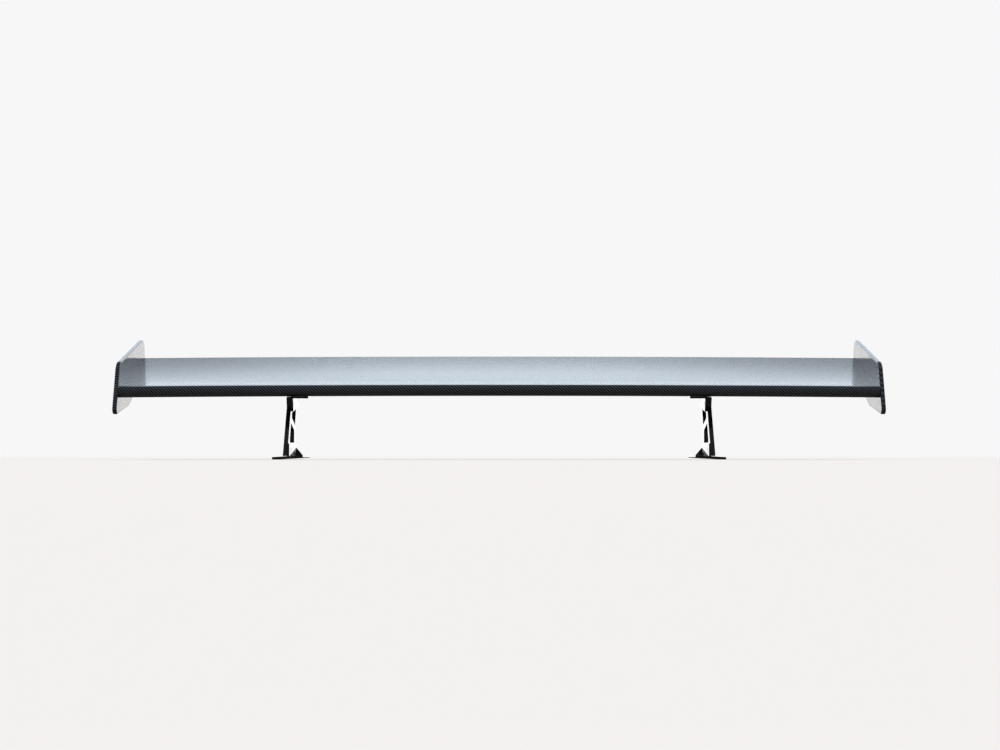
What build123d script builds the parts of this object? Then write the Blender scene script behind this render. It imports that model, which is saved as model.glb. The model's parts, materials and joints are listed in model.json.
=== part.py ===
"""Racing rear wing: a carbon wing with end plates, on two adjustable aluminium uprights.

X runs across the car, +Y to the rear, +Z up. The origin is the middle of the whole wing's box,
at the level of the lowest edge of the foot pads. Places along the car are written as the distance
behind the front edge of the feet, and heights as the distance above the origin.
"""
from build123d import *
from math import atan2, cos, radians, sin, tan
import os

os.makedirs("parts", exist_ok=True)

# ---------------------------------------------------------------- whole wing
overall_width = 1400.0
end_plate_thickness = 8.5

# ---------------------------------------------------------------- wing section
chord = 247.5              # centre of the round nose to the trailing edge
nose_radius = 10.5
top_hollow = 2.5           # how far the top surface dips
belly = 21.7               # how far the lower surface bulges
belly_forward = 0.15       # how far forward the bulge leans, 0 for the middle
tail_thickness = 2.0
incidence = 17.0           # angle of the chord to the ground, in degrees
nose_back = 26.5
nose_up = 123.1
arch = 3.0                 # rise of the wing's middle above its tips
skin_wall = 2.0
cavity_reach = 0.91        # where the hollow ends, as a part of the chord
bond_gap = 0.2             # glue line between the skins and what is bonded inside them

# ---------------------------------------------------------------- inside the wing
front_spar_place = 44.0    # front face of the spar, along the chord
rear_spar_place = 166.0
spar_depth = 18.0
spar_wall = 2.0
rib_thickness = 14.0
block_gap = 0.3

# ---------------------------------------------------------------- end plates
plate_front_low = (-0.5, 79.3)
plate_bend_low = (134.0, 101.7)
plate_rear_low = (283.5, 176.0)
plate_rear_high = (283.5, 237.2)
plate_front_high = (35.2, 176.4)
plate_front_radius = 10.0
plate_bend_radius = 90.0
plate_rear_low_radius = 14.0
plate_rear_high_radius = 22.0
plate_front_high_radius = 26.0
plate_edge_rounding = 2.6
overall_depth = plate_rear_high[0]

# ---------------------------------------------------------------- adjuster
upright_outer = 390.5      # outer face of each upright, from the middle of the car
upright_thickness = 8.0
bracket_thickness = 4.0
slide_gap = 0.3            # between each upright and the pieces that turn against it
pivot_back = 74.0
pivot_up = 103.2
clamp_radius = 80.0        # clamp bolt's distance from the pivot
clamp_bearing = 6.0        # its direction from the pivot above level, in degrees
lowest_angle = -3.0
highest_angle = 7.0
slot_spare = 0.5           # room left at each end of the slot, in degrees
running_gap = 0.05

# ---------------------------------------------------------------- brackets under the wing
flange_front = 57.0
flange_rear = 172.0
flange_inboard = 32.0      # flange width, from the leg's outer face
leg_front_low = (66.0, 88.0)
leg_rear_low = (170.0, 101.0)
seat_gap = 0.1
bracket_bolt_places = (104.0, 150.0)
bracket_bolt_inboard = 19.0

# ---------------------------------------------------------------- uprights
upright_toe = 2.0
upright_heel = 130.5
waist_front = (66.0, 96.7)
waist_rear = (173.0, 97.0)
crown_front = 59.0
crown_rear = 171.0
crown_gap = 1.3            # room over each upright at the end of the travel
upper_window = [(81.0, 86.0), (155.0, 97.5), (137.0, 64.5), (81.0, 76.5)]
lower_window = [(66.5, 67.0), (122.5, 54.5), (122.5, 31.0), (43.0, 31.0)]
window_rounding = 3.0

# ---------------------------------------------------------------- feet
foot_length = 130.0
foot_outer = 409.6
foot_inner = 354.0
foot_roll = 3.3            # the base leans down towards the outside, in degrees
foot_base = 3.2
foot_leg = 4.0
foot_leg_top = 29.0
foot_gap = 0.4
pad_thickness = 1.2
gusset_width = 12.7
gusset_top = 22.0
gusset_thickness = 4.0
foot_bolt_places = (30.0, 104.0)
foot_bolt_up = 18.2
lid_hole_places = (20.0, 108.0)
lid_hole_radius = 3.3
lid_hole_margin = 9.6      # from the base's long edges to the hole centres

# ---------------------------------------------------------------- fasteners
bolt_radius = 3.0
bolt_clearance = 0.3
thread_gap = 0.05
button_radius = 5.2
button_height = 3.3
sunk_radius = 6.0
sunk_depth = 3.3
sunk_land = 0.3            # straight rim above the cone
socket_across = 4.0        # hexagon sockets of the M6 bolts
socket_depth = 2.2
sunk_socket_depth = 2.0
washer_radius = 8.0
washer_thickness = 1.5
press_nut_radius = 5.0
insert_radius = 4.5
insert_length = 12.0
insert_recess = 0.6        # below the inner face of the skin
end_room = 2.0             # between a bolt's tip and the end of its insert
screw_radius = 2.5
screw_head_radius = 4.4
screw_head_height = 2.8
screw_washer_radius = 6.5
screw_washer_thickness = 1.2
screw_insert_radius = 3.8
screw_insert_length = 11.0
screw_socket_across = 3.0
screw_socket_depth = 1.8
cut_over = 1.0             # how far a cut runs on past the piece it cuts
span_over = 5.0            # how far the wing's sweep runs on past each tip before it is trimmed
seam_dip_place = 0.4       # share of the chord where the seam inside the wing is lowest
seam_dip = 0.4             # how low it runs there, as a share of the belly
web_trim = 0.01            # the tip ribs stop this share of the chord short of the cavity's end
settling_steps = 30        # rounds that bring a point on the tilted underside to its place
end_plate_screw_places = (30.0, 105.0, 180.0)    # along the chord

# ---------------------------------------------------------------- worked out
half_span = overall_width / 2 - end_plate_thickness
tilt = radians(incidence)
roll = radians(foot_roll)
bracket_outer = upright_outer - upright_thickness - slide_gap
bracket_inner = bracket_outer - bracket_thickness
flange_inner = bracket_outer - flange_inboard
upright_inner = upright_outer - upright_thickness
sides = {"left": -1, "right": 1}


def place(back, up):
    """A point in the side view, measured from the front edge of the feet."""
    return (back - overall_depth / 2, up)


def top_height(along):
    """The top surface's height above the chord line."""
    part = along / chord
    return nose_radius * (1 - part) ** 3 - 4 * top_hollow * part * (1 - part) + tail_thickness / 2 * part


def bottom_height(along):
    """The lower surface's height above the chord line, which is negative."""
    part = along / chord
    bulge = 4 * belly * part * (1 - part) * (1 + belly_forward * (1 - 2 * part))
    return -(nose_radius * (1 - part) ** 2 + bulge + tail_thickness / 2 * part)


def slope(height, along):
    """The angle of a surface to the chord line."""
    step = 0.01
    return atan2(height(along + step) - height(along - step), 2 * step)


def wing_rise(across):
    """How far the arched wing stands above its tips at this distance from the middle."""
    return arch * (1 - (across / half_span) ** 2)


def underside(back):
    """The height of the wing's lower surface at its tips."""
    along = back - nose_back
    for _ in range(settling_steps):
        along = (back - nose_back + bottom_height(along) * sin(tilt)) / cos(tilt)
    return nose_up + along * sin(tilt) + bottom_height(along) * cos(tilt)


def flange_top(back):
    """The height of the bracket flange's upper face, which follows the wing."""
    return underside(back) + wing_rise(bracket_outer) - seat_gap


def flange_bottom(back):
    """The height of the bracket flange's lower face."""
    return flange_top(back) - bracket_thickness


def crown(back):
    """The upright's top edge, clear of the wing over the whole travel."""
    from_pivot = back - pivot_back
    if from_pivot > 0:
        drop = from_pivot * sin(radians(-lowest_angle))
    else:
        drop = -from_pivot * sin(radians(highest_angle))
    return underside(back) + wing_rise(upright_outer) - drop - crown_gap


def spaced(first, last, count):
    """Evenly spaced values, both ends included."""
    return [first + (last - first) * step / (count - 1) for step in range(count)]


def wing_section(inset, reach):
    """The wing's outline, or one that lies inset within it and stops at reach of the chord."""
    radius = nose_radius - inset
    lean_top = slope(top_height, 0)
    lean_bottom = slope(bottom_height, 0)
    stations = spaced(0, reach * chord, 9)[1:]
    top = [(x, top_height(x) - inset) for x in stations]
    bottom = [(x, bottom_height(x) + inset) for x in stations]
    end_top = slope(top_height, stations[-1])
    end_bottom = slope(bottom_height, stations[-1])
    nose_top = (-radius * sin(lean_top), radius * cos(lean_top))
    nose_bottom = (radius * sin(lean_bottom), -radius * cos(lean_bottom))
    with BuildSketch() as outline:
        with BuildLine():
            Spline(nose_top, *top, tangents=[(cos(lean_top), sin(lean_top)), (cos(end_top), sin(end_top))])
            Line(top[-1], bottom[-1])
            Spline(
                nose_bottom,
                *bottom,
                tangents=[(cos(lean_bottom), sin(lean_bottom)), (cos(end_bottom), sin(end_bottom))],
            )
            ThreePointArc(nose_top, (-radius, 0), nose_bottom)
        make_face()
    return outline.sketch


def seam_side(above):
    """Everything above or below the seam, which runs from the nose, through the hollow, to the tail."""
    far = 2 * chord
    tail_middle = (top_height(chord) + bottom_height(chord)) / 2
    end = cavity_reach * chord
    end_middle = (top_height(end) + bottom_height(end)) / 2
    dip = (seam_dip_place * chord, -seam_dip * belly)
    seam = [(-far, 0), (0, 0), dip, (end, end_middle), (far, tail_middle)]
    edge = far if above else -far
    with BuildSketch() as side:
        with BuildLine():
            Polyline(*seam, (far, edge), (-far, edge), close=True)
        make_face()
    return side.sketch


def chord_band(first, last):
    """A strip across the section, between two places along the chord."""
    with BuildSketch() as band:
        with Locations(((first + last) / 2, 0)):
            Rectangle(last - first, 2 * chord)
    return band.sketch


def wing_plane(across):
    """The section's own plane at a distance from the middle: x along the chord, y up from it."""
    y, z = place(nose_back, nose_up + wing_rise(across))
    return Plane((across, y, z), x_dir=(0, cos(tilt), sin(tilt)), z_dir=(1, 0, 0))


def span_path():
    """The arched line that the wing's section is carried along, a little longer than the wing."""
    reach = half_span + span_over
    y, z = place(nose_back, nose_up)
    tip_height = z + wing_rise(reach)
    return ThreePointArc((-reach, y, tip_height), (0, y, z + wing_rise(0)), (reach, y, tip_height))


def span_start(path):
    """The plane at the start of the span path."""
    return Plane(path @ 0, x_dir=(0, cos(tilt), sin(tilt)), z_dir=path % 0)


def turned(planes, outline):
    """Turned pieces: a half outline of (radius, height) points spun about each plane's normal."""
    pieces = []
    for plane in planes:
        side = Plane(plane.origin, x_dir=plane.x_dir, z_dir=-plane.y_dir)
        with BuildPart() as piece:
            with BuildSketch(side):
                with BuildLine():
                    Polyline(*outline, close=True)
                make_face()
            revolve(axis=Axis(plane.origin, plane.z_dir))
        pieces.append(piece.part)
    return pieces


def hex_socket(planes, across, depth):
    """Hexagonal pockets, sunk into each plane."""
    pockets = []
    for plane in planes:
        with BuildPart() as pocket:
            with BuildSketch(plane):
                RegularPolygon(across / 2, 6, major_radius=False)
            extrude(amount=-depth)
        pockets.append(pocket.part)
    return pockets


def button_outline(radius, length, head_radius, head_height):
    """A button-headed bolt's half outline: the shank, then a low rounded head."""
    return [
        (0, -length),
        (radius, -length),
        (radius, 0),
        (head_radius, 0),
        (head_radius, 0.3 * head_height),
        (0.9 * head_radius, 0.62 * head_height),
        (0.72 * head_radius, 0.87 * head_height),
        (0.48 * head_radius, head_height),
        (0, head_height),
    ]


def sunk_outline(radius, length, head_radius, head_depth):
    """A countersunk bolt's half outline: the shank, then a cone and a straight rim."""
    return [
        (0, -length),
        (radius, -length),
        (radius, -head_depth),
        (head_radius, -sunk_land),
        (head_radius, 0),
        (0, 0),
    ]


def sink_outline(bore, head_radius, depth):
    """What a drill and a countersink take away, from just above the face."""
    return [(0, cut_over), (head_radius, cut_over), (head_radius, -sunk_land), (bore, -depth), (0, -depth)]


def ring_outline(bore, radius, thickness):
    """A washer, or with a negative thickness a nut or insert that lies below the plane."""
    return [(bore, 0), (radius, 0), (radius, thickness), (bore, thickness)]


def moved_out(planes, amount):
    return [plane.offset(amount) for plane in planes]


# ---------------------------------------------------------------- where the fasteners go
def outward(side, back, up, across):
    """A plane that looks outwards from the car's middle."""
    y, z = place(back, up)
    return Plane((side * across, y, z), x_dir=(0, side, 0), z_dir=(side, 0, 0))


clamp_back = pivot_back + clamp_radius * cos(radians(clamp_bearing))
clamp_up = pivot_up + clamp_radius * sin(radians(clamp_bearing))
pivot_planes = {name: outward(side, pivot_back, pivot_up, upright_outer) for name, side in sides.items()}
clamp_planes = {name: outward(side, clamp_back, clamp_up, upright_outer) for name, side in sides.items()}
foot_bolt_planes = {
    name: [outward(side, back, foot_bolt_up, upright_outer) for back in foot_bolt_places]
    for name, side in sides.items()
}


def bracket_bolt_plane(side, back):
    """A plane on the flange's lower face, looking down and square to it."""
    y, z = place(back, flange_bottom(back))
    lean = atan2(flange_bottom(back + 1) - flange_bottom(back - 1), 2)
    across = side * (bracket_outer - bracket_bolt_inboard)
    return Plane((across, y, z), x_dir=(1, 0, 0), z_dir=(0, sin(lean), -cos(lean)))


bracket_bolt_planes = {
    name: [bracket_bolt_plane(side, back) for back in bracket_bolt_places] for name, side in sides.items()
}


def end_plate_screw_plane(side, along):
    """A plane on the end plate's outer face, in the middle of the wing's thickness."""
    section = wing_plane(side * half_span)
    middle = (top_height(along) + bottom_height(along)) / 2
    point = section.from_local_coords((along, middle, 0))
    return Plane((side * overall_width / 2, point.Y, point.Z), x_dir=(0, side, 0), z_dir=(side, 0, 0))


end_plate_screw_planes = {
    name: [end_plate_screw_plane(side, along) for along in end_plate_screw_places]
    for name, side in sides.items()
}


def lid_hole_planes(side):
    """Planes on the foot's upper face, square to the rolled base, one for each hole to the car."""
    planes = []
    for across in (foot_outer - lid_hole_margin, foot_inner + lid_hole_margin):
        for back in lid_hole_places:
            y, z = place(back, base_top(across))
            leaning_up = (side * sin(roll), 0, cos(roll))
            planes.append(Plane((side * across, y, z), x_dir=(0, 1, 0), z_dir=leaning_up))
    return planes


def pad_floor(across):
    """The pad's lower face, whose outer edge stands at the origin's level."""
    return (foot_outer - across) * tan(roll)


def base_bottom(across):
    """The height of the foot's lower face, which sits on the pad."""
    return pad_floor(across) + pad_thickness / cos(roll)


def base_top(across):
    """The height of the foot's upper face."""
    return base_bottom(across) + foot_base / cos(roll)


def both(groups):
    """The left and right planes of a fastener, in one list."""
    planes = []
    for group in groups.values():
        planes.extend(group if isinstance(group, list) else [group])
    return planes


def finish(part, label):
    """Name a finished piece and write it."""
    part.label = label
    export_step(part, f"parts/{label}.step")


# ---------------------------------------------------------------- skins
with BuildPart() as upper_skin:
    path = span_path()
    with BuildSketch(span_start(path)):
        add(wing_section(0, 1))
        add(wing_section(skin_wall, cavity_reach), mode=Mode.SUBTRACT)
        add(seam_side(True), mode=Mode.INTERSECT)
    sweep(path=path)
    split(bisect_by=Plane.YZ.offset(half_span), keep=Keep.BOTTOM)
    split(bisect_by=Plane.YZ.offset(-half_span), keep=Keep.TOP)
finish(upper_skin.part, "upper_skin")

with BuildPart() as lower_skin:
    path = span_path()
    with BuildSketch(span_start(path)):
        add(wing_section(0, 1))
        add(wing_section(skin_wall, cavity_reach), mode=Mode.SUBTRACT)
        add(seam_side(False), mode=Mode.INTERSECT)
    sweep(path=path)
    split(bisect_by=Plane.YZ.offset(half_span), keep=Keep.BOTTOM)
    split(bisect_by=Plane.YZ.offset(-half_span), keep=Keep.TOP)
    for plane in both(bracket_bolt_planes):
        with BuildSketch(plane):
            Circle(bolt_radius + bolt_clearance)
        extrude(amount=-(bracket_thickness + 2 * skin_wall + seat_gap), mode=Mode.SUBTRACT)
finish(lower_skin.part, "lower_skin")

# ---------------------------------------------------------------- inside the wing
def spar_section(first):
    """A channel that fits between the skins, open to the rear."""
    with BuildSketch() as channel:
        add(wing_section(skin_wall + bond_gap, cavity_reach))
        add(chord_band(first, first + spar_depth), mode=Mode.INTERSECT)
        with BuildSketch(mode=Mode.SUBTRACT):
            add(wing_section(skin_wall + bond_gap + spar_wall, cavity_reach))
            add(chord_band(first + spar_wall, first + 2 * spar_depth), mode=Mode.INTERSECT)
    return channel.sketch


spar_half_length = half_span - rib_thickness - block_gap
with BuildPart() as front_spar:
    path = span_path()
    with BuildSketch(span_start(path)):
        add(spar_section(front_spar_place))
    sweep(path=path)
    split(bisect_by=Plane.YZ.offset(spar_half_length), keep=Keep.BOTTOM)
    split(bisect_by=Plane.YZ.offset(-spar_half_length), keep=Keep.TOP)
finish(front_spar.part, "front_spar")

with BuildPart() as rear_spar:
    path = span_path()
    with BuildSketch(span_start(path)):
        add(spar_section(rear_spar_place))
    sweep(path=path)
    split(bisect_by=Plane.YZ.offset(spar_half_length), keep=Keep.BOTTOM)
    split(bisect_by=Plane.YZ.offset(-spar_half_length), keep=Keep.TOP)
finish(rear_spar.part, "rear_spar")

for name, side in sides.items():
    with BuildPart() as tip_rib:
        with BuildSketch(wing_plane(side * (half_span - rib_thickness / 2))):
            add(wing_section(skin_wall + bond_gap, cavity_reach - web_trim))
        extrude(amount=rib_thickness / 2, both=True)
        for plane in moved_out(end_plate_screw_planes[name], -end_plate_thickness):
            with BuildSketch(plane):
                Circle(screw_insert_radius)
            extrude(amount=-screw_insert_length, mode=Mode.SUBTRACT)
    finish(tip_rib.part, f"{name}_tip_rib")

insert_floor = bracket_thickness + seat_gap + skin_wall + bond_gap + insert_recess
block_first = front_spar_place + spar_depth + block_gap
block_last = rear_spar_place - block_gap
block_middle = bracket_outer - bracket_bolt_inboard
for name, side in sides.items():
    with BuildPart() as mount_block:
        with BuildSketch(wing_plane(side * block_middle)):
            add(wing_section(skin_wall + bond_gap, cavity_reach))
            add(chord_band(block_first, block_last), mode=Mode.INTERSECT)
        extrude(amount=flange_inboard / 2, both=True)
        for plane in bracket_bolt_planes[name]:
            with BuildSketch(plane):
                Circle(insert_radius)
            extrude(amount=-(insert_floor + insert_length + block_gap), mode=Mode.SUBTRACT)
    finish(mount_block.part, f"{name}_mount_block")

with BuildPart() as mount_inserts:
    add(turned(
        moved_out(both(bracket_bolt_planes), -insert_floor),
        ring_outline(bolt_radius + thread_gap, insert_radius, -insert_length),
    ))
finish(mount_inserts.part, "mount_inserts")

with BuildPart() as tip_inserts:
    add(turned(
        moved_out(both(end_plate_screw_planes), -end_plate_thickness),
        ring_outline(screw_radius + thread_gap, screw_insert_radius, -screw_insert_length),
    ))
finish(tip_inserts.part, "tip_inserts")

# ---------------------------------------------------------------- end plates
for name, side in sides.items():
    with BuildPart() as end_plate:
        inner_face = half_span if side > 0 else -half_span - end_plate_thickness
        with BuildSketch(Plane.YZ.offset(inner_face)):
            with BuildLine():
                FilletPolyline(
                    place(*plate_front_low),
                    place(*plate_bend_low),
                    place(*plate_rear_low),
                    place(*plate_rear_high),
                    place(*plate_front_high),
                    radius=[plate_front_radius, plate_bend_radius, plate_rear_low_radius,
                            plate_rear_high_radius, plate_front_high_radius],
                    close=True,
                )
            make_face()
        extrude(amount=end_plate_thickness)
        rims = end_plate.faces().filter_by(Axis.X)
        fillet(rims.edges(), radius=plate_edge_rounding)
        for plane in end_plate_screw_planes[name]:
            with BuildSketch(plane):
                Circle(screw_radius + bolt_clearance)
            extrude(amount=-end_plate_thickness, mode=Mode.SUBTRACT)
    finish(end_plate.part, f"{name}_end_plate")

with BuildPart() as end_plate_washers:
    add(turned(
        both(end_plate_screw_planes),
        ring_outline(screw_radius + bolt_clearance, screw_washer_radius, screw_washer_thickness),
    ))
finish(end_plate_washers.part, "end_plate_washers")

with BuildPart() as end_plate_screws:
    heads = moved_out(both(end_plate_screw_planes), screw_washer_thickness)
    reach_in = screw_washer_thickness + end_plate_thickness + screw_insert_length - end_room
    add(turned(heads, button_outline(screw_radius, reach_in, screw_head_radius, screw_head_height)))
    tops = moved_out(heads, screw_head_height)
    add(hex_socket(tops, screw_socket_across, screw_socket_depth), mode=Mode.SUBTRACT)
finish(end_plate_screws.part, "end_plate_screws")

# ---------------------------------------------------------------- brackets under the wing
flange_backs = spaced(flange_front, flange_rear, 9)
for name, side in sides.items():
    with BuildPart() as wing_bracket:
        low_face = flange_inner if side > 0 else -bracket_outer
        with BuildSketch(Plane.YZ.offset(low_face)):
            with BuildLine():
                upper = Spline(*[place(back, flange_top(back)) for back in flange_backs])
                lower = Spline(*[place(back, flange_bottom(back)) for back in flange_backs])
                Line(upper @ 0, lower @ 0)
                Line(upper @ 1, lower @ 1)
            make_face()
        extrude(amount=bracket_outer - flange_inner)
        leg_face = bracket_inner if side > 0 else -bracket_outer
        with BuildSketch(Plane.YZ.offset(leg_face)):
            with BuildLine():
                Spline(*[place(back, flange_top(back) - bracket_thickness / 2) for back in flange_backs])
                Polyline(
                    place(flange_front, flange_top(flange_front) - bracket_thickness / 2),
                    place(*leg_front_low),
                    place(*leg_rear_low),
                    place(flange_rear, flange_top(flange_rear) - bracket_thickness / 2),
                )
            make_face()
        extrude(amount=bracket_thickness)
        for plane in (pivot_planes[name], clamp_planes[name]):
            with BuildSketch(plane.offset(bracket_outer - upright_outer)):
                Circle(press_nut_radius)
            extrude(amount=-bracket_thickness, mode=Mode.SUBTRACT)
        for plane in bracket_bolt_planes[name]:
            with BuildSketch(plane):
                Circle(bolt_radius + bolt_clearance)
            extrude(amount=-bracket_thickness - cut_over, mode=Mode.SUBTRACT)
    finish(wing_bracket.part, f"{name}_wing_bracket")

with BuildPart() as wing_bracket_washers:
    add(turned(
        moved_out(both(bracket_bolt_planes), seat_gap),
        ring_outline(bolt_radius + bolt_clearance, washer_radius, washer_thickness),
    ))
finish(wing_bracket_washers.part, "wing_bracket_washers")

with BuildPart() as wing_bracket_bolts:
    heads = moved_out(both(bracket_bolt_planes), seat_gap + washer_thickness)
    reach_in = seat_gap + washer_thickness + insert_floor + insert_length - end_room
    add(turned(heads, button_outline(bolt_radius, reach_in, button_radius, button_height)))
    add(hex_socket(moved_out(heads, button_height), socket_across, socket_depth), mode=Mode.SUBTRACT)
finish(wing_bracket_bolts.part, "wing_bracket_bolts")

# ---------------------------------------------------------------- uprights
upright_bottom = base_top(upright_inner) + foot_gap
crown_backs = spaced(crown_front, crown_rear, 7)
clamp_travel = CenterArc(
    place(pivot_back, pivot_up),
    clamp_radius,
    clamp_bearing + lowest_angle - slot_spare,
    highest_angle - lowest_angle + 2 * slot_spare,
)
for name, side in sides.items():
    with BuildPart() as upright:
        low_face = upright_inner if side > 0 else -upright_outer
        with BuildSketch(Plane.YZ.offset(low_face)):
            with BuildLine():
                Spline(*[place(back, crown(back)) for back in crown_backs])
                Polyline(
                    place(crown_front, crown(crown_front)),
                    place(*waist_front),
                    place(upright_toe, upright_bottom),
                    place(upright_heel, upright_bottom),
                    place(*waist_rear),
                    place(crown_rear, crown(crown_rear)),
                )
            make_face()
            for window in (upper_window, lower_window):
                with BuildLine():
                    FilletPolyline(*[place(*point) for point in window], radius=window_rounding, close=True)
                make_face(mode=Mode.SUBTRACT)
            SlotArc(clamp_travel, 2 * (bolt_radius + bolt_clearance), mode=Mode.SUBTRACT)
        extrude(amount=upright_thickness)
        with BuildSketch(pivot_planes[name]):
            Circle(bolt_radius + running_gap)
        extrude(amount=-upright_thickness, mode=Mode.SUBTRACT)
        add(
            turned(
                [pivot_planes[name]],
                sink_outline(
                    bolt_radius + running_gap, sunk_radius + 2 * running_gap, sunk_depth + 2 * running_gap
                ),
            ),
            mode=Mode.SUBTRACT,
        )
        for plane in foot_bolt_planes[name]:
            with BuildSketch(plane):
                Circle(bolt_radius + bolt_clearance)
            extrude(amount=-upright_thickness, mode=Mode.SUBTRACT)
        add(
            turned(
                foot_bolt_planes[name],
                sink_outline(bolt_radius + bolt_clearance, sunk_radius + thread_gap, sunk_depth),
            ),
            mode=Mode.SUBTRACT,
        )
    finish(upright.part, f"{name}_upright")

# ---------------------------------------------------------------- adjuster fasteners
nut_outline = ring_outline(bolt_radius + thread_gap, press_nut_radius, -bracket_thickness)
with BuildPart() as pivot_nuts:
    add(turned(moved_out(both(pivot_planes), bracket_outer - upright_outer), nut_outline))
finish(pivot_nuts.part, "pivot_nuts")

with BuildPart() as clamp_nuts:
    add(turned(moved_out(both(clamp_planes), bracket_outer - upright_outer), nut_outline))
finish(clamp_nuts.part, "clamp_nuts")

with BuildPart() as pivot_bolts:
    grip = upright_outer - bracket_inner
    add(turned(both(pivot_planes), sunk_outline(bolt_radius, grip, sunk_radius, sunk_depth)))
    add(hex_socket(both(pivot_planes), socket_across, sunk_socket_depth), mode=Mode.SUBTRACT)
finish(pivot_bolts.part, "pivot_bolts")

with BuildPart() as clamp_washers:
    add(turned(
        moved_out(both(clamp_planes), slide_gap),
        ring_outline(bolt_radius + bolt_clearance, washer_radius, washer_thickness),
    ))
finish(clamp_washers.part, "clamp_washers")

with BuildPart() as clamp_bolts:
    heads = moved_out(both(clamp_planes), slide_gap + washer_thickness)
    reach_in = slide_gap + washer_thickness + upright_outer - bracket_inner
    add(turned(heads, button_outline(bolt_radius, reach_in, button_radius, button_height)))
    add(hex_socket(moved_out(heads, button_height), socket_across, socket_depth), mode=Mode.SUBTRACT)
finish(clamp_bolts.part, "clamp_bolts")

# ---------------------------------------------------------------- feet
foot_front = Plane.XZ.offset(overall_depth / 2)
gusset_front = Plane.XZ.offset(overall_depth / 2 - foot_length + gusset_thickness)
leg_inner = upright_inner - foot_leg
for name, side in sides.items():
    with BuildPart() as foot:
        with BuildSketch(foot_front):
            with BuildLine():
                Polyline(
                    (side * foot_outer, base_bottom(foot_outer)),
                    (side * foot_inner, base_bottom(foot_inner)),
                    (side * foot_inner, base_top(foot_inner)),
                    (side * leg_inner, base_top(leg_inner)),
                    (side * leg_inner, foot_leg_top),
                    (side * upright_inner, foot_leg_top),
                    (side * upright_inner, base_top(upright_inner)),
                    (side * foot_outer, base_top(foot_outer)),
                    close=True,
                )
            make_face()
        extrude(amount=-foot_length)
        with BuildSketch(gusset_front):
            with BuildLine():
                Polyline(
                    (side * leg_inner, gusset_top),
                    (side * (leg_inner - gusset_width), base_top(leg_inner - gusset_width)),
                    (side * leg_inner, base_top(leg_inner)),
                    close=True,
                )
            make_face()
        extrude(amount=-gusset_thickness)
        for plane in lid_hole_planes(side):
            with BuildSketch(plane):
                Circle(lid_hole_radius)
            extrude(amount=-foot_base - cut_over, mode=Mode.SUBTRACT)
        for plane in foot_bolt_planes[name]:
            with BuildSketch(plane.offset(-upright_thickness)):
                Circle(press_nut_radius)
            extrude(amount=-foot_leg, mode=Mode.SUBTRACT)
    finish(foot.part, f"{name}_foot")

for name, side in sides.items():
    with BuildPart() as foot_pad:
        with BuildSketch(foot_front):
            with BuildLine():
                Polyline(
                    (side * foot_outer, pad_floor(foot_outer)),
                    (side * foot_inner, pad_floor(foot_inner)),
                    (side * foot_inner, base_bottom(foot_inner)),
                    (side * foot_outer, base_bottom(foot_outer)),
                    close=True,
                )
            make_face()
        extrude(amount=-foot_length)
        for plane in lid_hole_planes(side):
            with BuildSketch(plane):
                Circle(lid_hole_radius)
            extrude(amount=-foot_base - pad_thickness - cut_over, mode=Mode.SUBTRACT)
    finish(foot_pad.part, f"{name}_foot_pad")

with BuildPart() as foot_nuts:
    add(turned(
        moved_out(both(foot_bolt_planes), -upright_thickness),
        ring_outline(bolt_radius + thread_gap, press_nut_radius, -foot_leg),
    ))
finish(foot_nuts.part, "foot_nuts")

with BuildPart() as foot_bolts:
    add(turned(
        both(foot_bolt_planes),
        sunk_outline(bolt_radius, upright_thickness + foot_leg, sunk_radius, sunk_depth),
    ))
    add(hex_socket(both(foot_bolt_planes), socket_across, sunk_socket_depth), mode=Mode.SUBTRACT)
finish(foot_bolts.part, "foot_bolts")
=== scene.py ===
import json
import math
import bmesh
import bpy
import numpy as np
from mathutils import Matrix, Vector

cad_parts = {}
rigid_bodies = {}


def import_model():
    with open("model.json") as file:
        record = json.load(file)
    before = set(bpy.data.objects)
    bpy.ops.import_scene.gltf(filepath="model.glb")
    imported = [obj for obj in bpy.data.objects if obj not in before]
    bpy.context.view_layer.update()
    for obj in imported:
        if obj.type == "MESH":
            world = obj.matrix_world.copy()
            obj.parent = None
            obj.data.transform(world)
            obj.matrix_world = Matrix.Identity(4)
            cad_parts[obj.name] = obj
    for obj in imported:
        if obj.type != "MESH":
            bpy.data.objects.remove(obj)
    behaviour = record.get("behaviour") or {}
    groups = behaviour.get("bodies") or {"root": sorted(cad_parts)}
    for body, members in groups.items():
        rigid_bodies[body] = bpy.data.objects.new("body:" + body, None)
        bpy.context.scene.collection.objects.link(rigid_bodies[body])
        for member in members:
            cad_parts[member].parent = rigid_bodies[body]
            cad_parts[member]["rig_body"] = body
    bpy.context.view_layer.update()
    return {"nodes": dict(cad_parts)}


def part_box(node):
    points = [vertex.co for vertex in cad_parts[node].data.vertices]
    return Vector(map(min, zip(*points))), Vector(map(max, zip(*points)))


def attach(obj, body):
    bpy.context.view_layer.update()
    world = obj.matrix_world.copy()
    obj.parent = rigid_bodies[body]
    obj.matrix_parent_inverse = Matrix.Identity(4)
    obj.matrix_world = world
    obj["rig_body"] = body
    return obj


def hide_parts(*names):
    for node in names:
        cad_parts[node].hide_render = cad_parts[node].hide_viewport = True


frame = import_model()
scene = bpy.context.scene
scene.view_settings.view_transform = "Standard"
scene.cycles.denoising_prefilter = "NONE"        # a smoothed guide would wipe out the fine weave

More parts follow.
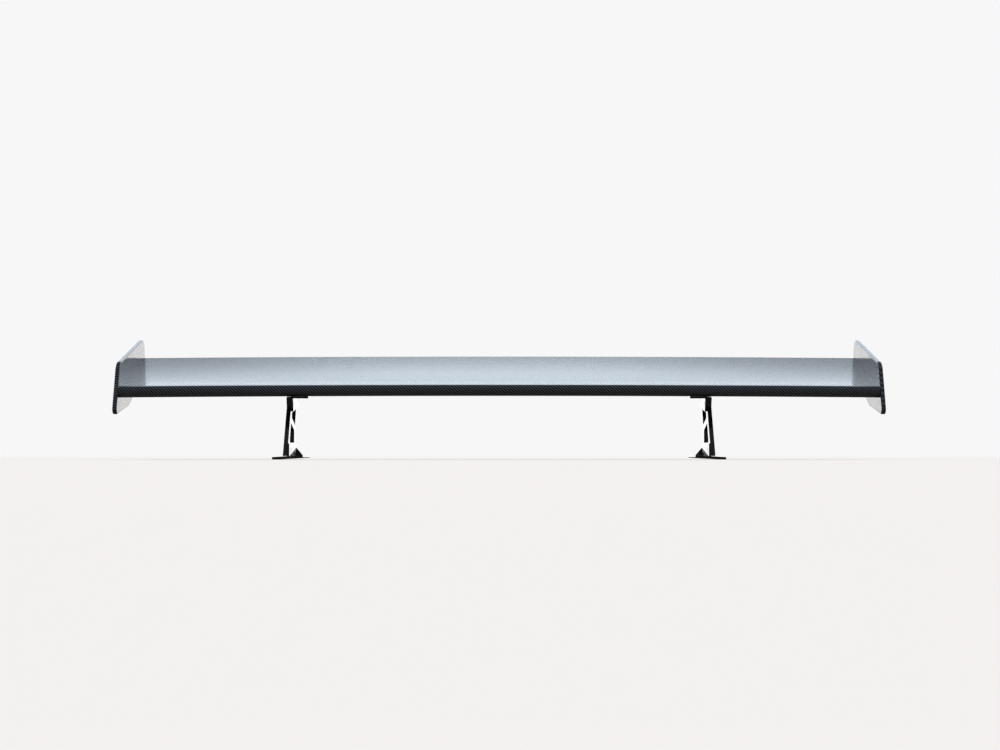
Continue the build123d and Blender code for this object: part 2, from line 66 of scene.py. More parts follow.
# ------------------------------------------------------------------------------------------------
# The room: a plain pale floor, and soft studio light. A bright wall stands behind the wing and leans
# over it, so the lacquer mirrors it, while the side that faces the viewer stays dark.
# ------------------------------------------------------------------------------------------------
floor_reach = 200.0
corners = np.array([(-1, -1, 0), (1, -1, 0), (1, 1, 0), (-1, 1, 0)], float) * floor_reach
floor_mesh = bpy.data.meshes.new("floor")
floor_mesh.from_pydata(corners.tolist(), [], [(0, 1, 2, 3)])
floor = bpy.data.objects.new("floor", floor_mesh)
scene.collection.objects.link(floor)
floor.visible_glossy = False



def plain_paint(name):
    """A new material, with its node tree's nodes and links and its shader, ready to be given a finish."""
    paint = bpy.data.materials.new(name)
    paint.use_nodes = True
    tree = paint.node_tree
    return paint, tree.nodes, tree.links, tree.nodes["Principled BSDF"]


floor_paint, _, _, floor_shader = plain_paint("pale_floor")
floor_shader.inputs["Base Color"].default_value = (0.96, 0.92, 0.885, 1)
floor_shader.inputs["Roughness"].default_value = 1.0
floor_shader.inputs["Specular IOR Level"].default_value = 0.0
floor_mesh.materials.append(floor_paint)


def arithmetic(nodes, links):
    """A function that adds one Math node to a node tree and returns its result."""

    def worked(kind, *values, clamp=False):
        node = nodes.new("ShaderNodeMath")
        node.operation = kind
        node.use_clamp = clamp
        for socket, value in zip(node.inputs, values):
            if isinstance(value, (int, float)):
                socket.default_value = value
            else:
                links.new(value, socket)
        return node.outputs[0]

    return worked


def eased(nodes, links, value, low, high):
    """0 below low, 1 above high, and a smooth step between them."""
    node = nodes.new("ShaderNodeMapRange")
    node.interpolation_type = "SMOOTHSTEP"
    node.inputs["From Min"].default_value = low
    node.inputs["From Max"].default_value = high
    links.new(value, node.inputs["Value"])
    return node.outputs["Result"]


room = bpy.data.worlds.new("room")
scene.world = room
room.use_nodes = True
nodes, links = room.node_tree.nodes, room.node_tree.links
nodes.clear()
worked = arithmetic(nodes, links)
direction = nodes.new("ShaderNodeTexCoord")
axes = nodes.new("ShaderNodeSeparateXYZ")
links.new(direction.outputs["Generated"], axes.inputs[0])
sideways, rearward, upward = axes.outputs["X"], axes.outputs["Y"], axes.outputs["Z"]

wall_light, patch_light, side_light = 1.45, 1.5, 0.05
ceiling_light, front_light, below_light = 0.08, 0.14, 0.10
behind = eased(nodes, links, rearward, -0.05, 0.45)
above_floor = eased(nodes, links, upward, -0.10, 0.02)
under_ceiling = worked("SUBTRACT", 1, eased(nodes, links, upward, 0.44, 0.79))
beside = eased(nodes, links, worked("ABSOLUTE", sideways), 0.03, 0.20)
patch = worked("MULTIPLY", eased(nodes, links, upward, 0.33, 0.60), worked("SUBTRACT", 1, beside))
patch = worked("MULTIPLY", patch, worked("SUBTRACT", 1, eased(nodes, links, upward, 0.62, 0.72)))
low_side = worked("MULTIPLY", beside, worked("SUBTRACT", 1, eased(nodes, links, upward, 0.10, 0.30)))
wall = worked("MULTIPLY_ADD", patch, patch_light, wall_light)
wall = worked("MULTIPLY_ADD", low_side, side_light, wall)
wall = worked("MULTIPLY", worked("MULTIPLY", wall, under_ceiling), worked("MULTIPLY", behind, above_floor))
ceiling = worked("MULTIPLY", eased(nodes, links, upward, 0.10, 0.80), ceiling_light)
plain = worked("MULTIPLY_ADD", above_floor, front_light - below_light, below_light)
total = worked("ADD", wall, worked("ADD", ceiling, plain))
cool = nodes.new("ShaderNodeMix")
cool.data_type = "RGBA"
cool.inputs["A"].default_value = (1.0, 0.985, 0.98, 1)
cool.inputs["B"].default_value = (0.80, 0.90, 1.0, 1)
links.new(eased(nodes, links, upward, 0.04, 0.30), cool.inputs["Factor"])
given_light = nodes.new("ShaderNodeBackground")
links.new(cool.outputs["Result"], given_light.inputs["Color"])
links.new(total, given_light.inputs["Strength"])
seen_wall = nodes.new("ShaderNodeBackground")
seen_wall.inputs["Color"].default_value = (0.93, 0.93, 0.93, 1)
ray = nodes.new("ShaderNodeLightPath")
either = nodes.new("ShaderNodeMixShader")
out = nodes.new("ShaderNodeOutputWorld")
links.new(ray.outputs["Is Camera Ray"], either.inputs["Fac"])
links.new(given_light.outputs[0], either.inputs[1])
links.new(seen_wall.outputs[0], either.inputs[2])
links.new(either.outputs[0], out.inputs["Surface"])

lamp = bpy.data.lights.new("overhead_softbox", "SUN")
lamp.angle = math.radians(70)
lamp.energy = 1.85
lamp.color = (1.0, 0.955, 0.93)
lamp_object = bpy.data.objects.new("overhead_softbox", lamp)
lamp_object.rotation_euler = (math.radians(-12), 0, 0)
lamp_object.visible_glossy = False
scene.collection.objects.link(lamp_object)

# The camera stands far in front, level with the feet, and looks very slightly up.
camera_data = bpy.data.cameras.new("camera")
camera_data.sensor_width = 36.0
camera_data.lens = 70.25
camera_data.shift_x = 0.0009
camera_data.clip_start = 0.005
camera_data.clip_end = 500.0
camera = bpy.data.objects.new("camera", camera_data)
camera.location = (0, -3.6638, 0.0047)
camera.rotation_euler = (math.radians(90 + 2.404), 0, 0)
scene.collection.objects.link(camera)
scene.camera = camera

# ------------------------------------------------------------------------------------------------
# The wing's two skins: woven carbon laid in a mould in two halves, about 2 mm thick, joined along
# the round nose and along the tail. The cloth is a 2/2 twill, and a clear lacquer covers it.
# ------------------------------------------------------------------------------------------------
chord, nose_radius, tail_thickness = 0.2475, 0.0105, 0.002
top_hollow, belly, belly_forward = 0.0025, 0.0217, 0.15
skin_wall = 0.002
thin_from = 0.1        # behind this place along the chord the two skins may close on each other
tilt = math.radians(17.0)
arch = 0.003
nose_place = np.array((0.0265 - 0.2835 / 2, 0.1231))
half_span = -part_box("upper_skin")[0].x


def top_height(along):
    """The top surface's height above the chord line: the nose fades out as a cube, less a shallow dip."""
    part = along / chord
    return nose_radius * (1 - part) ** 3 - 4 * top_hollow * part * (1 - part) + tail_thickness / 2 * part


def bottom_height(along):
    """The lower surface's height: the nose fades out as a square, and a forward-leaning parabola bulges."""
    part = along / chord
    bulge = 4 * belly * part * (1 - part) * (1 + belly_forward * (1 - 2 * part))
    return -(nose_radius * (1 - part) ** 2 + bulge + tail_thickness / 2 * part)


def skin_outline(height, sign, inset, count=90):
    """Nose arc from the foremost point round to where the surface takes over, then the surface to the
    tail, closely spaced at the nose and the tail. Returns points (along, above)."""
    step = 1e-5
    lean = math.atan2(height(step) - height(0.0), step)
    radius = nose_radius - inset
    arc = np.linspace(0, math.pi / 2 + sign * lean, 20)[:-1]
    nose = np.stack((-radius * np.cos(arc), sign * radius * np.sin(arc)), 1)
    start = -sign * radius * math.sin(lean)
    spread = (1 - np.cos(np.linspace(0, math.pi, count))) / 2
    along = start + (chord - start) * (0.5 * spread + 0.5 * np.linspace(0, 1, count))
    ease = np.exp(-((along - start) / 0.012))
    above = height(np.maximum(along, 0)) - sign * inset
    above = above + ease * (sign * radius * math.cos(lean) - above[0])
    return np.concatenate((nose, np.stack((along, above), 1)))


def skin_mesh(name, height, sign):
    """The outline and an inner copy of it one wall deeper, which meets the seam's middle line at the
    tail, carried along the arched span. Returns a closed mesh whose UV map is in metres of cloth."""
    outer = skin_outline(height, sign, 0.0)
    inner = skin_outline(height, sign, skin_wall)
    behind_nose = np.maximum(inner[:, 0], 0)
    middle = (top_height(behind_nose) + bottom_height(behind_nose)) / 2
    stopped = sign * np.maximum(sign * inner[:, 1], sign * middle)
    inner[:, 1] = np.where(inner[:, 0] > thin_from, stopped, inner[:, 1])
    count = len(outer)
    stations = np.linspace(-half_span, half_span, 61)
    rise = arch * (1 - (stations / half_span) ** 2)
    loop = np.concatenate((outer, inner[::-1]))
    y = nose_place[0] + loop[:, 0] * math.cos(tilt) - loop[:, 1] * math.sin(tilt)
    z = nose_place[1] + loop[:, 0] * math.sin(tilt) + loop[:, 1] * math.cos(tilt)
    points = np.stack(np.broadcast_arrays(stations[:, None], y[None, :], z[None, :] + rise[:, None]), 2)
    ring = 2 * count
    a = np.arange(len(stations) - 1)[:, None] * ring + np.arange(ring)[None, :]
    b = np.arange(len(stations) - 1)[:, None] * ring + (np.arange(ring)[None, :] + 1) % ring
    walls = np.stack((a, a + ring, b + ring, b), 2).reshape(-1, 4)
    k = np.arange(count - 1)
    cap = np.stack((k, k + 1, ring - 2 - k, ring - 1 - k), 1)
    far_cap = cap[:, ::-1] + (len(stations) - 1) * ring
    faces = np.concatenate((walls, cap, far_cap))
    if sign < 0:
        faces = faces[:, ::-1]
    length = np.concatenate(((0,), np.cumsum(np.hypot(*np.diff(outer, axis=0).T))))
    around = sign * np.concatenate((length, length[::-1]))
    cloth = np.stack(np.broadcast_arrays(stations[:, None], around[None, :]), 2).reshape(-1, 2)
    return closed_mesh(name, points.reshape(-1, 3), faces.tolist(), cloth)


def closed_mesh(name, points, faces, cloth):
    """A mesh of four-cornered faces, smooth except at sharp corners, with the UV map 'cloth' in metres."""
    mesh = bpy.data.meshes.new(name)
    mesh.from_pydata(points.tolist(), [], faces)
    layer = mesh.uv_layers.new(name="cloth")
    corner_points = np.empty(len(mesh.loops), np.int32)
    mesh.loops.foreach_get("vertex_index", corner_points)
    layer.data.foreach_set("uv", cloth[corner_points].astype(np.float32).ravel())
    mesh.shade_smooth()
    mesh.set_sharp_from_angle(angle=math.radians(32))
    mesh.update()
    return mesh


def twill_carbon(name, tow, lean, seed):
    """Lacquered 2/2 twill. Each tow goes over two and under two, and the step moves on by one tow from
    row to row, so the floats line up in diagonals. tow is a tow's width in metres, and lean is which
    way the diagonals run, 1 or -1."""
    paint, nodes, links, shader = plain_paint(name)

    sum_of = arithmetic(nodes, links)
    cloth = nodes.new("ShaderNodeUVMap")
    cloth.uv_map = "cloth"
    axes = nodes.new("ShaderNodeSeparateXYZ")
    links.new(cloth.outputs[0], axes.inputs[0])
    across = sum_of("MULTIPLY", axes.outputs["X"], lean / tow)
    along = sum_of("MULTIPLY", axes.outputs["Y"], 1 / tow)
    across_cell, along_cell = sum_of("FLOOR", across), sum_of("FLOOR", along)
    across_part, along_part = sum_of("FRACT", across), sum_of("FRACT", along)
    step = sum_of("FLOORED_MODULO", sum_of("ADD", across_cell, along_cell), 4)
    warp_up = sum_of("LESS_THAN", step, 1.5)
    weft_up = sum_of("SUBTRACT", 1, warp_up)

    def chosen(if_warp, if_weft):
        return sum_of("ADD", sum_of("MULTIPLY", if_warp, warp_up), sum_of("MULTIPLY", if_weft, weft_up))

    def hump(value, power):
        """1 in the middle of 0..1, 0 at both ends."""
        middle = sum_of("MULTIPLY_ADD", value, 2, -1)
        return sum_of("SUBTRACT", 1, sum_of("POWER", sum_of("ABSOLUTE", middle), power))

    side_part = chosen(across_part, along_part)
    run_part = chosen(
        sum_of("MULTIPLY", sum_of("ADD", step, along_part), 0.5),
        sum_of("MULTIPLY", sum_of("ADD", sum_of("SUBTRACT", step, 2), across_part), 0.5),
    )
    run_height = sum_of("MULTIPLY_ADD", hump(run_part, 3.0), 0.5, 0.5)
    tow_height = sum_of("MULTIPLY", hump(side_part, 3.5), run_height)

    # Fibres show as fine streaks along each tow.
    streak_place = nodes.new("ShaderNodeCombineXYZ")
    fibres_wide, fibres_long = 24, 0.8
    over_tow = chosen(sum_of("MULTIPLY", across, fibres_wide), sum_of("MULTIPLY", along, fibres_wide))
    down_tow = chosen(sum_of("MULTIPLY", along, fibres_long), sum_of("MULTIPLY", across, fibres_long))
    links.new(over_tow, streak_place.inputs["X"])
    links.new(down_tow, streak_place.inputs["Y"])
    streak_place.inputs["Z"].default_value = seed
    streaks = nodes.new("ShaderNodeTexNoise")
    streaks.inputs["Scale"].default_value = 1.0
    streaks.inputs["Detail"].default_value = 2.0
    links.new(streak_place.outputs[0], streaks.inputs["Vector"])

    # Tows differ a little in how they take the light, as laid cloth does.
    cell_place = nodes.new("ShaderNodeCombineXYZ")
    links.new(chosen(across_cell, along_cell), cell_place.inputs["X"])
    links.new(sum_of("MULTIPLY", warp_up, 91.0), cell_place.inputs["Y"])
    per_tow = nodes.new("ShaderNodeTexWhiteNoise")
    links.new(cell_place.outputs[0], per_tow.inputs["Vector"])

    tow_tone_and_painted_sheen = sum_of("MULTIPLY_ADD", streaks.outputs["Fac"], 0.5, 0.6)
    tow_tone_and_painted_sheen = sum_of("ADD", tow_tone_and_painted_sheen, sum_of("MULTIPLY", per_tow.outputs["Value"], 0.25))
    # Painted sheen: weft-up tows get nine times the colour of warp-up tows, standing in for the brighter
    # reflection that fibres lying across the span catch from the light behind and above.
    tow_tone_and_painted_sheen = sum_of("MULTIPLY", tow_tone_and_painted_sheen, sum_of("MULTIPLY_ADD", weft_up, 0.80, 0.10), clamp=True)
    tone = nodes.new("ShaderNodeMix")
    tone.data_type = "RGBA"
    tone.inputs["A"].default_value = (0.006, 0.0062, 0.0066, 1)
    tone.inputs["B"].default_value = (0.30, 0.315, 0.34, 1)
    # Painted shade: the tow's height also darkens its colour towards its edges and the ends of each float,
    # where it dips under its neighbours.
    links.new(sum_of("MULTIPLY", tow_tone_and_painted_sheen, tow_height), tone.inputs["Factor"])
    links.new(tone.outputs["Result"], shader.inputs["Base Color"])

    relief = nodes.new("ShaderNodeBump")
    relief.inputs["Strength"].default_value = 1.0
    relief.inputs["Distance"].default_value = 0.00022
    links.new(sum_of("MULTIPLY_ADD", streaks.outputs["Fac"], 0.06, tow_height), relief.inputs["Height"])
    links.new(relief.outputs[0], shader.inputs["Normal"])
    links.new(sum_of("MULTIPLY_ADD", streaks.outputs["Fac"], 0.14, 0.24), shader.inputs["Roughness"])
    shader.inputs["Metallic"].default_value = 1.0
    shader.inputs["Specular Tint"].default_value = (0.25, 0.25, 0.25, 1)
    shader.inputs["Coat Weight"].default_value = 1.0
    shader.inputs["Coat IOR"].default_value = 1.5
    shader.inputs["Coat Roughness"].default_value = 0.03

    # The weave prints through the lacquer very slightly, and the lacquer lies a little uneven over it.
    place = nodes.new("ShaderNodeTexCoord")
    ripple = nodes.new("ShaderNodeTexNoise")
    ripple.inputs["Scale"].default_value = 70.0
    ripple.inputs["Detail"].default_value = 1.0
    links.new(place.outputs["Object"], ripple.inputs["Vector"])
    peel = nodes.new("ShaderNodeBump")
    peel.inputs["Strength"].default_value = 1.0
    peel.inputs["Distance"].default_value = 0.00002
    print_through = sum_of("MULTIPLY_ADD", weft_up, 0.6, tow_height)
    links.new(sum_of("MULTIPLY_ADD", print_through, 1.1, ripple.outputs["Fac"]), peel.inputs["Height"])
    links.new(peel.outputs[0], shader.inputs["Coat Normal"])
    return paint


tow_width = 0.0015
wing_cloth = twill_carbon("lacquered_twill", tow=tow_width, lean=1, seed=3.0)
for name, height, sign in (("upper_skin", top_height, 1), ("lower_skin", bottom_height, -1)):
    mesh = skin_mesh(f"{name}_cloth", height, sign)
    skin = bpy.data.objects.new(f"{name}_cloth", mesh)
    scene.collection.objects.link(skin)
    mesh.materials.append(wing_cloth)
    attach(skin, "wing")
    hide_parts(name)


# ------------------------------------------------------------------------------------------------
# The end plates: flat carbon plates, 8.5 mm thick, cut to a five-cornered outline and rounded over
# all round the rim before lacquering. Three button-head screws hold each one to the wing's end.
# ------------------------------------------------------------------------------------------------
outline_corners = np.array([(-0.5, 79.3), (134, 101.7), (283.5, 176), (283.5, 237.2), (35.2, 176.4)]) / 1000
outline_radii = np.array([10, 90, 14, 22, 26]) / 1000
plate_middle = 0.2835 / 2
rim_radius = 0.0026


def rounded_outline(corners, radii, step=0.0022):
    """Each corner becomes an arc that touches both its sides, and the sides between are divided evenly.
    Returns the closed line's points and its outward directions."""
    points, outward = [], []
    count = len(corners)
    arcs = []
    for k in range(count):
        here = corners[k]
        back = (corners[k - 1] - here) / np.linalg.norm(corners[k - 1] - here)
        on = (corners[(k + 1) % count] - here) / np.linalg.norm(corners[(k + 1) % count] - here)
        half = math.acos(np.clip(back @ on, -1, 1)) / 2
        middle = here + (back + on) / np.linalg.norm(back + on) * radii[k] / math.sin(half)
        first = math.atan2(*(here + back * radii[k] / math.tan(half) - middle)[::-1])
        turn = math.pi - 2 * half
        angles = first + turn * np.linspace(0, 1, max(4, int(turn * radii[k] / step) + 2))
        around = np.stack((np.cos(angles), np.sin(angles)), 1)
        arcs.append((middle + radii[k] * around, around))
    for k in range(count):
        arc, around = arcs[k]
        points.append(arc)
        outward.append(around)
        start, end = arc[-1], arcs[(k + 1) % count][0][0]
        share = np.linspace(0, 1, int(np.linalg.norm(end - start) / step) + 2)[1:-1, None]
        points.append(start + (end - start) * share)
        outward.append(np.repeat(around[-1:], len(share), 0))
    return np.concatenate(points), np.concatenate(outward)


def plate_mesh(name, inner_x, outer_x):
    """The outline carried round the rim's profile: a quarter circle from the inner face, a short flat,
    and a quarter circle to the outer face. Both faces are flat and close it. Its UV map goes on past
    the face's edge by the distance round the rim."""
    line, outward = rounded_outline(outline_corners, outline_radii)
    quarter = np.linspace(0, math.pi / 2, 9)
    side = math.copysign(1, outer_x - inner_x)
    inset = rim_radius * (1 - np.sin(quarter))
    depth = rim_radius * (1 - np.cos(quarter))
    reach = rim_radius * quarter
    lean = np.stack((-side * np.cos(quarter), np.sin(quarter)), 1)
    profile_x = np.concatenate((inner_x + side * depth, (outer_x - side * depth)[::-1]))
    inset = np.concatenate((inset, inset[::-1]))
    reach = np.concatenate((reach, reach[::-1]))
    lean = np.concatenate((lean, lean[::-1] * (-1, 1)))
    flat = line[None] - outward[None] * inset[:, None, None]
    cloth = line[None] - outward[None] * (rim_radius - reach)[:, None, None]
    x = np.broadcast_to(profile_x[:, None], flat.shape[:2])
    points = np.stack((x, flat[..., 0] - plate_middle, flat[..., 1]), 2).reshape(-1, 3)
    turned = lean[:, None, 1:] * outward[None]
    normals = np.stack((np.broadcast_to(lean[:, None, 0], x.shape), turned[..., 0], turned[..., 1]), 2)
    rings, count = flat.shape[:2]
    a = np.arange(rings - 1)[:, None] * count + np.arange(count)[None, :]
    b = np.arange(rings - 1)[:, None] * count + (np.arange(count)[None, :] + 1) % count
    walls = np.stack((a, b, b + count, a + count), 2).reshape(-1, 4)
    face = np.arange(count)
    faces = walls.tolist() + [face[::-1].tolist(), (face + (rings - 1) * count).tolist()]
    if side < 0:
        faces = [f[::-1] for f in faces]
    mesh = closed_mesh(name, points, faces, cloth.reshape(-1, 2))
    mesh.normals_split_custom_set_from_vertices(normals.reshape(-1, 3).tolist())
    return mesh


for side_name, sign in (("left", -1), ("right", 1)):
    low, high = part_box(f"{side_name}_end_plate")
    inner_x, outer_x = (high.x, low.x) if sign < 0 else (low.x, high.x)
    mesh = plate_mesh(f"{side_name}_end_plate_cloth", inner_x, outer_x)
    plate = bpy.data.objects.new(mesh.name, mesh)
    scene.collection.objects.link(plate)
    finish_name = f"lacquered_twill_{side_name}_plate"
    mesh.materials.append(twill_carbon(finish_name, tow=tow_width, lean=-sign, seed=7.0 + sign))
    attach(plate, "wing")
    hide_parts(f"{side_name}_end_plate")

# ------------------------------------------------------------------------------------------------
# The uprights, the wing brackets and the feet: aluminium plate, cut out and bent, its edges broken by
# hand and then blacked and polished. They carry the wing, and the clamp slot sets its angle.
# ------------------------------------------------------------------------------------------------


def black_aluminium_finish():
    """Smooth black finish over metal with fine lines left by the polishing, rubbed thin in places."""
    paint, nodes, links, shader = plain_paint("polished_black_aluminium")
    worked = arithmetic(nodes, links)
    place = nodes.new("ShaderNodeTexCoord")
    stretch = nodes.new("ShaderNodeMapping")
    stretch.inputs["Scale"].default_value = (900.0, 60.0, 900.0)
    links.new(place.outputs["Object"], stretch.inputs["Vector"])
    lines = nodes.new("ShaderNodeTexNoise")
    lines.inputs["Scale"].default_value = 1.0
    lines.inputs["Detail"].default_value = 4.0
    links.new(stretch.outputs[0], lines.inputs["Vector"])
    patches = nodes.new("ShaderNodeTexNoise")
    patches.inputs["Scale"].default_value = 38.0
    patches.inputs["Detail"].default_value = 5.0
    links.new(place.outputs["Object"], patches.inputs["Vector"])
    rubbed = eased(nodes, links, patches.outputs["Fac"], 0.52, 0.78)
    tone = nodes.new("ShaderNodeMix")
    tone.data_type = "RGBA"
    tone.inputs["A"].default_value = (0.0042, 0.0043, 0.0046, 1)
    tone.inputs["B"].default_value = (0.016, 0.0165, 0.018, 1)
    links.new(rubbed, tone.inputs["Factor"])
    links.new(tone.outputs["Result"], shader.inputs["Base Color"])
    rough = worked("MULTIPLY_ADD", lines.outputs["Fac"], 0.10, 0.30)
    links.new(worked("MULTIPLY_ADD", rubbed, 0.10, rough), shader.inputs["Roughness"])
    relief = nodes.new("ShaderNodeBump")
    relief.inputs["Strength"].default_value = 0.35
    relief.inputs["Distance"].default_value = 0.00002
    uneven = worked("MULTIPLY_ADD", patches.outputs["Fac"], 2.0, lines.outputs["Fac"])
    links.new(uneven, relief.inputs["Height"])
    links.new(relief.outputs[0], shader.inputs["Normal"])
    shader.inputs["IOR"].default_value = 1.5
    shader.inputs["Specular IOR Level"].default_value = 0.2
    shader.inputs["Coat Weight"].default_value = 1.0
    shader.inputs["Coat IOR"].default_value = 1.5
    shader.inputs["Coat Roughness"].default_value = 0.02
    return paint


def broken_edges(node, width, finish, name):
    """A copy of the plain part with its corners welded, its flat faces joined up, and every sharp edge
    rounded over by width. It rides and stands where the plain part does."""
    source = frame["nodes"][node]
    mesh = bpy.data.meshes.new(name)
    shape = bmesh.new()
    shape.from_mesh(source.data)
    bmesh.ops.remove_doubles(shape, verts=shape.verts, dist=1e-6)
    bmesh.ops.dissolve_limit(shape, angle_limit=math.radians(0.5), verts=shape.verts, edges=shape.edges)
    shape.to_mesh(mesh)
    shape.free()
    if "custom_normal" in mesh.attributes:
        mesh.attributes.remove(mesh.attributes["custom_normal"])
    mesh.shade_smooth()
    piece = bpy.data.objects.new(name, mesh)
    scene.collection.objects.link(piece)
    rounding = piece.modifiers.new("broken_edges", "BEVEL")
    rounding.width = width
    rounding.segments = 2
    rounding.limit_method = "ANGLE"
    rounding.angle_limit = math.radians(35)
    rounding.harden_normals = True
    rounding.use_clamp_overlap = True
    mesh.materials.clear()
    mesh.materials.append(finish)
    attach(piece, source["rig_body"])
    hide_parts(node)


black_finish = black_aluminium_finish()
thick_plate_edge, thin_plate_edge = 0.0007, 0.0005
for side_name in ("left", "right"):
    for part, edge, called in (
        ("upright", thick_plate_edge, "upright_plate"),
        ("wing_bracket", thin_plate_edge, "bracket_plate"),
        ("foot", thin_plate_edge, "foot_plate"),
    ):
        broken_edges(f"{side_name}_{part}", edge, black_finish, f"{side_name}_{called}")

# ------------------------------------------------------------------------------------------------
# The screws, bolts and washers: steel, cold headed and blacked in an oxide bath, which leaves them
# satin and faintly mottled.
# ------------------------------------------------------------------------------------------------


def steel_finish(name, dark, light, metallic, rough, scale):
    """Steel with a mottled skin: two noises, coarse for stains and fine for the grain, mix two tones,
    and the fine one sets the roughness and a shallow relief."""
    paint, nodes, links, shader = plain_paint(name)
    worked = arithmetic(nodes, links)
    place = nodes.new("ShaderNodeTexCoord")
    stains = nodes.new("ShaderNodeTexNoise")
    stains.inputs["Scale"].default_value = scale
    stains.inputs["Detail"].default_value = 5.0
    grain = nodes.new("ShaderNodeTexNoise")
    grain.inputs["Scale"].default_value = scale * 9
    grain.inputs["Detail"].default_value = 3.0
    for texture in (stains, grain):
        links.new(place.outputs["Object"], texture.inputs["Vector"])
    tone = nodes.new("ShaderNodeMix")
    tone.data_type = "RGBA"
    tone.inputs["A"].default_value = (*dark, 1)
    tone.inputs["B"].default_value = (*light, 1)
    links.new(eased(nodes, links, stains.outputs["Fac"], 0.35, 0.70), tone.inputs["Factor"])
    links.new(tone.outputs["Result"], shader.inputs["Base Color"])
    links.new(worked("MULTIPLY_ADD", grain.outputs["Fac"], 0.22, rough), shader.inputs["Roughness"])
    relief = nodes.new("ShaderNodeBump")
    relief.inputs["Strength"].default_value = 0.5
    relief.inputs["Distance"].default_value = 0.00003
    links.new(grain.outputs["Fac"], relief.inputs["Height"])
    links.new(relief.outputs[0], shader.inputs["Normal"])
    shader.inputs["Metallic"].default_value = metallic
    return paint


bolt_edge, washer_edge = 0.0002, 0.00025
oxide_steel = steel_finish(
    "black_oxide_steel", (0.008, 0.0082, 0.009), (0.035, 0.034, 0.036), metallic=0.75, rough=0.26, scale=420.0
)
plated_steel = steel_finish(
    "zinc_plated_steel", (0.42, 0.43, 0.44), (0.66, 0.67, 0.66), metallic=1.0, rough=0.20, scale=260.0
)
for node in ("end_plate_screws", "wing_bracket_bolts", "pivot_bolts", "clamp_bolts", "foot_bolts"):
    broken_edges(node, bolt_edge, oxide_steel, f"{node}_blacked")
for node in ("end_plate_washers", "wing_bracket_washers", "clamp_washers"):
    broken_edges(node, washer_edge, oxide_steel, f"{node}_blacked")
for node in ("mount_inserts", "tip_inserts", "pivot_nuts", "clamp_nuts", "foot_nuts"):
    broken_edges(node, bolt_edge, plated_steel, f"{node}_plated")

# ------------------------------------------------------------------------------------------------
# The foot pads: thin black rubber sheet, stamped out and glued under each foot to save the paint.
# Its skin is matt, with the fine pimples of the press and a grey bloom.
# ------------------------------------------------------------------------------------------------
rubber, nodes, links, rubber_shader = plain_paint("pad_rubber_sheet")
worked = arithmetic(nodes, links)
place = nodes.new("ShaderNodeTexCoord")
pimples = nodes.new("ShaderNodeTexVoronoi")
pimples.inputs["Scale"].default_value = 1400.0
bloom = nodes.new("ShaderNodeTexNoise")
bloom.inputs["Scale"].default_value = 60.0
bloom.inputs["Detail"].default_value = 6.0
for texture in (pimples, bloom):
    links.new(place.outputs["Object"], texture.inputs["Vector"])
rubber_tone = nodes.new("ShaderNodeMix")
rubber_tone.data_type = "RGBA"
rubber_tone.inputs["A"].default_value = (0.010, 0.010, 0.010, 1)
rubber_tone.inputs["B"].default_value = (0.030, 0.030, 0.031, 1)
links.new(bloom.outputs["Fac"], rubber_tone.inputs["Factor"])
links.new(rubber_tone.outputs["Result"], rubber_shader.inputs["Base Color"])
links.new(worked("MULTIPLY_ADD", bloom.outputs["Fac"], 0.25, 0.60), rubber_shader.inputs["Roughness"])
rubber_relief = nodes.new("ShaderNodeBump")
rubber_relief.inputs["Strength"].default_value = 0.6
rubber_relief.inputs["Distance"].default_value = 0.00008
links.new(pimples.outputs["Distance"], rubber_relief.inputs["Height"])
links.new(rubber_relief.outputs[0], rubber_shader.inputs["Normal"])
pad_edge = 0.0003
for side_name in ("left", "right"):
    broken_edges(f"{side_name}_foot_pad", pad_edge, rubber, f"{side_name}_foot_pad_sheet")

# ------------------------------------------------------------------------------------------------
# Inside the wing: two extruded aluminium channels run the span, and blocks of hard foam close the
# tips and hold the steel inserts. All of them are glued in before the skins are closed.
# ------------------------------------------------------------------------------------------------
aluminium, nodes, links, metal_shader = plain_paint("extruded_aluminium")
worked = arithmetic(nodes, links)
place = nodes.new("ShaderNodeTexCoord")
drawn = nodes.new("ShaderNodeMapping")
drawn.inputs["Scale"].default_value = (12.0, 2200.0, 2200.0)
links.new(place.outputs["Object"], drawn.inputs["Vector"])
die_lines = nodes.new("ShaderNodeTexNoise")
die_lines.inputs["Scale"].default_value = 1.0
die_lines.inputs["Detail"].default_value = 3.0
links.new(drawn.outputs[0], die_lines.inputs["Vector"])
metal_tone = nodes.new("ShaderNodeMix")
metal_tone.data_type = "RGBA"
metal_tone.inputs["A"].default_value = (0.56, 0.57, 0.58, 1)
metal_tone.inputs["B"].default_value = (0.76, 0.77, 0.78, 1)
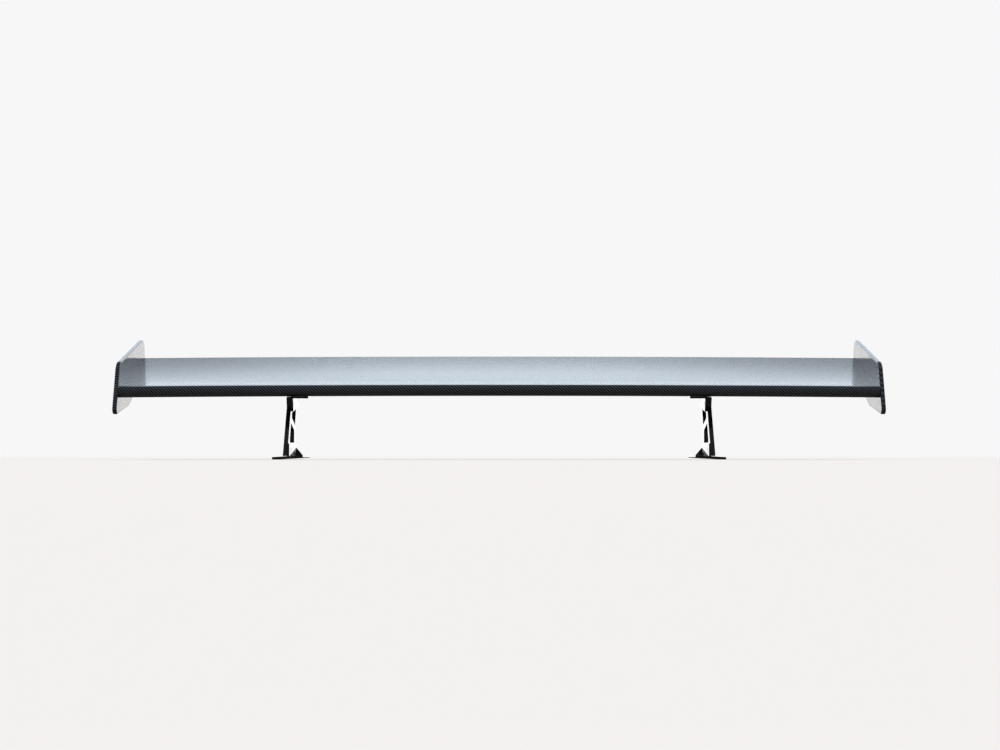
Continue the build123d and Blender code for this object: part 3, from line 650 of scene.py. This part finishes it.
links.new(die_lines.outputs["Fac"], metal_tone.inputs["Factor"])
links.new(metal_tone.outputs["Result"], metal_shader.inputs["Base Color"])
links.new(worked("MULTIPLY_ADD", die_lines.outputs["Fac"], 0.25, 0.22), metal_shader.inputs["Roughness"])
metal_relief = nodes.new("ShaderNodeBump")
metal_relief.inputs["Strength"].default_value = 0.4
metal_relief.inputs["Distance"].default_value = 0.00003
links.new(die_lines.outputs["Fac"], metal_relief.inputs["Height"])
links.new(metal_relief.outputs[0], metal_shader.inputs["Normal"])
metal_shader.inputs["Metallic"].default_value = 1.0

foam, nodes, links, foam_shader = plain_paint("hard_foam_block")
worked = arithmetic(nodes, links)
place = nodes.new("ShaderNodeTexCoord")
cells = nodes.new("ShaderNodeTexVoronoi")
cells.inputs["Scale"].default_value = 1500.0
clouds = nodes.new("ShaderNodeTexNoise")
clouds.inputs["Scale"].default_value = 90.0
clouds.inputs["Detail"].default_value = 4.0
for texture in (cells, clouds):
    links.new(place.outputs["Object"], texture.inputs["Vector"])
foam_tone = nodes.new("ShaderNodeMix")
foam_tone.data_type = "RGBA"
foam_tone.inputs["A"].default_value = (0.62, 0.47, 0.27, 1)
foam_tone.inputs["B"].default_value = (0.78, 0.64, 0.42, 1)
links.new(clouds.outputs["Fac"], foam_tone.inputs["Factor"])
links.new(foam_tone.outputs["Result"], foam_shader.inputs["Base Color"])
links.new(worked("MULTIPLY_ADD", clouds.outputs["Fac"], 0.15, 0.78), foam_shader.inputs["Roughness"])
foam_relief = nodes.new("ShaderNodeBump")
foam_relief.inputs["Strength"].default_value = 0.8
foam_relief.inputs["Distance"].default_value = 0.0002
links.new(cells.outputs["Distance"], foam_relief.inputs["Height"])
links.new(foam_relief.outputs[0], foam_shader.inputs["Normal"])

inside = {
    "front_spar": aluminium,
    "rear_spar": aluminium,
    "left_tip_rib": foam,
    "right_tip_rib": foam,
    "left_mount_block": foam,
    "right_mount_block": foam,
}
for node, finish in inside.items():
    for material_slot in frame["nodes"][node].material_slots:
        material_slot.material = finish
